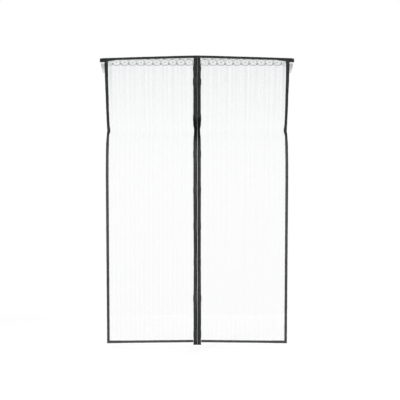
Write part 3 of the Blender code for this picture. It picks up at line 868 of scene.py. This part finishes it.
def seamRows(side):
    face, rear = layer["tapeHalf"] + stitch["frontProud"], layer["tapeHalf"] + stitch["proud"]
    front, back = layer["tapeFront"] + face, layer["tapeBack"] - rear
    inset, step = stitch["inset"], stitch["step"]
    sides, centre = np.arange(0.040, 2.190, step), np.arange(0.004, 2.219, step)
    top, foot = np.arange(0.031, halfSpan - 0.002, step), np.arange(0.0355, hemEnd - 0.002, step)
    topLift = tape["wingLift"] * ease(top, tape["wingLiftFrom"], tape["wingLiftTo"])
    footLift = hem["lift"] * ease(foot, 0.655, 0.667)
    courses = (
        (sideInner(sides) + inset, sides, front + forward(sides), back + forward(sides)),
        (sleeveOuter(centre, side) - inset, centre, front + forward(centre), back + forward(centre)),
        (top, headingLow(top) - inset, front + topLift, layer["headingBack"] - rear),
        (foot, hemTop(foot) + inset, front + footLift, back - footLift))
    rows = [place(side, x, depth, drop) for x, drop, *depths in courses for depth in depths]
    # two bars close each magnet's pocket
    x = np.linspace(stitch["barFrom"], stitch["barTo"], 8)
    for centre in magnetDrops:
        for drop in (centre - stitch["barOffset"], centre + stitch["barOffset"]):
            roof = between(layer["tapeFront"], layer["pocketRoof"], pocketShare(drop))
            rows.append(place(side, x, roof + rear + stitch["barRise"] + forward(drop), drop))
    return rows


for word, side in halves:
    points, along = (np.concatenate(part) for part in zip(*map(stitchRow, seamRows(side))))
    look = {**stitch["look"], "Material": blackThread}
    piece = growStitches("stitches_" + word, points, along, np.ones(len(points)), look)
    tapes[word].append(keep(piece, "black_tape"))
print("seams stitched")


# Lace

lace = {
    "bottom": 0.079, "scallop": 0.016, "pitch": 0.0618, "scallops": 11, "perScallop": 18, "rows": 18,
    "thickness": 0.0004, "openCover": 0.14, "denseCover": 0.52, "eyeDrop": 0.0495, "eyeWidth": 0.021,
    "eyeHeight": 0.0075, "ringX": 0.0205, "ringZ": 0.0125, "ringSlope": 0.10, "ringStitch": 0.0064,
    "ringTurn": (-2.3, 3.3), "tail": 0.45, "tailFrom": 1.6, "tailTurn": 1.7, "stitchPitch": 0.0011, "spokes": 6,
    "rimStitch": 0.0058, "knotDrop": 0.0600, "knotSize": 0.0090, "budDrop": 0.0275, "budShift": -0.007,
    "budWidth": 0.024, "budHeight": 0.0085, "gapDrop": 0.0280, "gapShift": 0.036, "satinRow": 0.00105,
    "satinStep": 0.0038, "headerPitch": 0.0026,
}
lacePitch, laceSide = lace["pitch"], range(-lace["scallops"], lace["scallops"] + 1)


def laceLow(x):
    t = clamp(np.abs(x - np.round(x / lacePitch) * lacePitch) / (lacePitch / 2))
    return lace["bottom"] - lace["scallop"] + lace["scallop"] * np.sqrt(1 - t * t)


def laceDepth(x, drop):
    return layer["lace"] + 0.0005 * ease(drop, 0.030, lace["bottom"]) * ripple(x, (0.19, 0.083, 0.31), 71)


def laceCover(x, drop):
    # dense between the rings, open in them and beside each bud, thin towards the sides
    inScallop = x - np.round(x / lacePitch) * lacePitch
    fromEye = drop - lace["eyeDrop"] - lace["ringSlope"] * inScallop
    apart = np.hypot(inScallop / lace["ringX"], fromEye / lace["ringZ"])
    fromGap = (inScallop - lace["gapShift"] + lacePitch / 2) % lacePitch - lacePitch / 2
    gap = bell(fromGap, 0.011) * bell(drop - lace["gapDrop"], 0.007)
    dense = ease(apart, 0.95, 1.25) * (1 - 0.85 * gap) * (1 - 0.75 * ease(drop, 0.056, 0.066))
    cover = between(lace["openCover"], lace["denseCover"], dense * (1 - 0.8 * ease(np.abs(x), 0.653, 0.668)))
    return cover * (1 - 0.5 * np.exp(-clamp(drop - headingLow(x)) / 0.008))


def spaced(course, start, end, count):
    # turns at every stitch's pitch along a curve
    turn = np.linspace(start, end, count)
    x, drop = course(turn)
    run = join([0], np.cumsum(np.hypot(np.diff(x), np.diff(drop))))
    return np.interp(np.arange(0, run[-1], lace["stitchPitch"]), run, turn)


def rimStitches(centreX):
    # stitches across a scallop's edge: place, direction and size
    inset = lace["rimStitch"] / 2
    radiusX, radiusZ = lacePitch / 2 - inset * 0.4, lace["scallop"] - inset

    def course(turn):
        return centreX + radiusX * np.cos(turn), lace["bottom"] - lace["scallop"] + radiusZ * np.sin(turn)

    at = spaced(course, 0, math.pi, 200)
    outX, outZ = np.cos(at) / radiusX, np.sin(at) / radiusZ
    size = np.hypot(outX, outZ)
    return *course(at), outX / size, outZ / size, 0.85 + 0.45 * np.abs(outX / size)


def swirlStitches(centreX):
    # a hooked oval: its tail comes from the left, runs under the eye and back over it
    def course(turn):
        grown = 1 + lace["tail"] * clamp((turn - lace["tailFrom"]) / lace["tailTurn"]) ** 2
        x = lace["ringX"] * grown * np.cos(turn)
        return centreX + x, lace["eyeDrop"] + lace["ringZ"] * np.sin(turn) + lace["ringSlope"] * x

    at = spaced(course, *lace["ringTurn"], 240)
    (x, drop), (nextX, nextDrop) = course(at), course(at + 0.01)
    size = np.hypot(nextX - x, nextDrop - drop)
    return x, drop, (nextDrop - drop) / size, (x - nextX) / size, 1 + 0 * x


def filledStitches(centreX, centreDrop, width, height, slope):
    # an oval packed with short satin stitches
    drops, xs = np.meshgrid(np.arange(-height / 2, height / 2, lace["satinRow"]),
                            np.arange(-width / 2, width / 2, lace["satinStep"]))
    xs = xs + lace["satinStep"] / 2 * (np.round(drops / lace["satinRow"]) % 2)
    inside = (xs / (width / 2)) ** 2 + (drops / (height / 2)) ** 2 < 1
    x, drop = xs[inside], drops[inside]
    lean = slope * np.sign(x + 1e-9)
    size = np.hypot(1, lean)
    return centreX + x, centreDrop + drop, 1 / size, lean / size, 1 + 0 * x


def pick(stitches, chosen):
    return tuple(part[chosen] for part in stitches)


def layStitches(name, sets, material, lift, length, seed, **values):
    # only what hangs below the heading
    shown = [pick(s, s[1] > headingLow(s[0]) - 0.003) for s in sets]
    x, drop, outX, outZ, size = (np.concatenate(part) for part in zip(*shown))
    points = place(1, x, laceDepth(x, drop) + lace["thickness"] / 2 + lift, drop)
    along = np.stack([outX, 0 * outX, -outZ], axis=1)
    values = {"Width": 0.0011, "Sides": 5, "Rings": 4, **values, "Length": length, "Seed": seed, "Material": material}
    return keep(growStitches(name, points, along, size, values), "white_lace")


turns = np.linspace(0, math.pi, lace["perScallop"] + 1)[:-1]
across = [k * lacePitch - lacePitch / 2 * np.cos(turns) for k in laceSide]
across = join(*across, [(lace["scallops"] + 0.5) * lacePitch])
drop = between(archDrop(across) + 0.0048, laceLow(across) - 0.0004, np.linspace(0, 1, lace["rows"])[:, None])
x = across + 0 * drop
front = place(1, x, laceDepth(x, drop) + lace["thickness"] / 2, drop)
ground = keep(slabPiece("lace_ground", front, lace["thickness"], laceGround, {"cover": laceCover(x, drop)}),
              "white_lace", "lace_trim")
rim, rimEnds, rings, eyes, knots, buds, web = [], [], [], [], [], [], []
for k in laceSide:
    x0 = k * lacePitch
    whole = rimStitches(x0)
    turned = np.abs(whole[0] - x0) > 0.30 * lacePitch
    rim.append(pick(whole, ~turned))
    rimEnds.append(pick(whole, turned))
    if k == 0:
        continue
    rings.append(swirlStitches(x0))
    eyes.append(filledStitches(x0, lace["eyeDrop"], lace["eyeWidth"], lace["eyeHeight"], 0.35))
    buds.append(filledStitches(x0 + lace["budShift"], lace["budDrop"], lace["budWidth"], lace["budHeight"], 0.45))
    # crossing threads between the eye and its ring
    for turn in np.arange(lace["spokes"]) * math.pi / lace["spokes"]:
        reachX, reachZ = lace["ringX"] * math.cos(turn), lace["ringZ"] * math.sin(turn)
        share = np.linspace(-1, 1, 5)
        if lace["eyeDrop"] - abs(reachZ) > headingLow(x0) - 0.002:
            web.append(place(1, x0 + reachX * share, layer["lace"] + 0.0002, lace["eyeDrop"] + reachZ * share))
for k in laceSide[:-1]:
    x0 = (k + 0.5) * lacePitch
    if abs(x0) > 0.04:
        knots.append(filledStitches(x0, lace["knotDrop"], lace["knotSize"], lace["knotSize"] * 0.9, 0.5))
laceParts = [
    layStitches("lace_rim", rim, laceThread, 0.0003, lace["rimStitch"], 9),
    layStitches("lace_rim_ends", rimEnds, laceDenseShaded, 0.0003, lace["rimStitch"], 15),
    layStitches("lace_rings", rings, laceBright, 0.0005, lace["ringStitch"], 10, Width=0.0015, Spread=0.04),
    layStitches("lace_eyes", eyes, laceEye, 0.0002, 0.0046, 11),
    layStitches("lace_knots", knots, laceDenseShaded, 0.0004, 0.0052, 12, Width=0.0013),
    layStitches("lace_buds", buds, laceBud, 0.0002, 0.0050, 13, Sides=4, Rings=3),
    keep(grow("lace_web", lineMesh(web), [(cords, {"Radius": 0.00035, "Sides": 4, "Material": laceBright})]),
         "white_lace"),
]
# the lace's header: upright stitches along the heading's lower edge
across = np.arange(-0.700, 0.7001, lace["headerPitch"])
across = across[np.abs(across) > 0.030]
header = (across, headingLow(across) + 0.0010, 0 * across, 1 + 0 * across, 1 + 0 * across)
laceParts.append(layStitches("lace_header", [header], laceThread, 0.0001, 0.0060, 14))
print("lace worked")

# gusset flaps under the wings
gusset = {"top": 0.0480, "foot": 0.136, "widths": (0.030, 0.0235, 0.012), "lap": 0.004, "pleats": 3, "wave": 0.0005}
for word, side in halves:
    drops = np.linspace(gusset["top"], gusset["foot"], 16)[:, None]
    share = np.linspace(0, 1, 22)
    width = np.interp(drops, np.linspace(gusset["top"], gusset["foot"], 3), gusset["widths"])
    x = sideOuter(drops) - gusset["lap"] + (width + gusset["lap"]) * share
    level = drops + 0 * x
    wave = gusset["wave"] * np.sin(math.tau * gusset["pleats"] * share) * ease(gusset["foot"] - level, 0, 0.06)
    cover = ease(level, 0.055, 0.067) * np.exp(-clamp(level - 0.070) / 0.040)
    cover = cover * between(0.55, 1, ease(share, 0.05, 0.35))
    flap = slabPiece("gusset_flap_" + word, place(side, x, layer["lace"] + wave, level),
                     lace["thickness"], gussetLace, {"cover": 0.05 + 0.90 * cover})
    laceParts.append(keep(flap, "white_lace"))
print("gussets set")


# Fastener strip with its loop pile

fastener = {
    "margin": 0.002, "step": 0.010, "front": 0.0011, "thickness": 0.0006, "pileDepth": 0.0005,
    "look": {"Density": 1.6e5, "Least Distance": 0.0022, "Loop Radius": 0.0006, "Thread": 0.00013, "Seed": 5}
}
margin = fastener["margin"]
across = np.arange(-halfSpan + margin, halfSpan - margin + 0.001, fastener["step"])
across[-1] = halfSpan - margin
drop = between(archDrop(across) + margin, headingLow(across) - margin, np.linspace(0, 1, 7)[:, None])
x = across + 0 * drop
backing = slabPiece("fastener_backing", place(1, x, fastener["front"], drop), fastener["thickness"], fastenerBlack,
                    {"wearAndHighlight": 0 * x, "creaseShade": 0 * x})
keep(backing, "black_fastener", "fastener_strip")
mesh = rawMesh("pileFace", place(1, x, fastener["pileDepth"], drop), [], gridFaces(*x.shape))
keep(grow("fastener_loops", mesh, [(pile, {**fastener["look"], "Material": pileThread})]), "black_fastener")
print("fastener napped")

# Magnets keep their solids and get a finish
for name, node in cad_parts.items():
    if name.startswith("magnet_"):
        for slot in node.material_slots:
            slot.material = magnetRubber


# Light, floor and camera

studio = {
    "camera": (0.023, -7.69, -1.100), "lens": 90.0, "aim": (0, 0, -1.1),
    "lamps": {"softKey": ((-2.8, -4.6, 2.2), 2.4, 150.0), "softFill": ((3.2, -4.8, 0.4), 2.8, 60.0),
              "backGlow": ((1.5, 4.6, 1.6), 2.6, 70.0)},
    "floor": -2.245, "floorHalf": 2.3, "floorLift": 0.616, "floorTone": 0.36, "skyLight": 0.62,
}
for name, (location, size, power) in studio["lamps"].items():
    data = bpy.data.lights.new(name, "AREA")
    data.shape = "DISK"
    data.size = size
    data.energy = power
    lamp = link(name, data)
    lamp.location = location
    back = np.subtract(location, studio["aim"])
    lamp.rotation_euler = (math.atan2(math.hypot(back[0], back[1]), back[2]), 0, math.atan2(back[0], -back[1]))


def seenDirectly(tree):
    # 1 for rays that show the white backdrop, 0 for those that light the object
    path = addNode(tree, "ShaderNodeLightPath").outputs
    through = maths(tree, "MAXIMUM", path["Is Glossy Ray"], path["Is Transmission Ray"])
    return maths(tree, "MAXIMUM", path["Is Camera Ray"], through)


world = bpy.data.worlds.new("studio")
scene = bpy.context.scene
scene.world = world
world.use_nodes = True
tree = world.node_tree
sky = tree.nodes["Background"].inputs
sky["Color"].default_value = (1, 1, 1, 1)
strength = maths(tree, "MULTIPLY_ADD", seenDirectly(tree), 1 - studio["skyLight"], studio["skyLight"])
tree.links.new(strength, sky["Strength"])

half = studio["floorHalf"]
corners = [(x, y, studio["floor"]) for x, y in ((-half, -half), (half, -half), (half, half), (-half, half))]
floor = link("floor", rawMesh("floor", corners, [], [(0, 1, 2, 3)]))
pale, tree, shader, _ = newMaterial(
    "paleFloor", Roughness=0.9, Base_Color=(studio["floorTone"],) * 3 + (1,), Emission_Color=(1, 1, 1, 1))
tree.links.new(maths(tree, "MULTIPLY", seenDirectly(tree), studio["floorLift"]), shader.inputs["Emission Strength"])
floor.data.materials.append(pale)

cameraData = bpy.data.cameras.new("camera")
cameraData.lens = studio["lens"]
camera = link("camera", cameraData)
camera.location = studio["camera"]
camera.rotation_euler = (math.pi / 2, 0, 0)
scene.camera = camera
scene.view_settings.view_transform = "Standard"
print("studio lit")
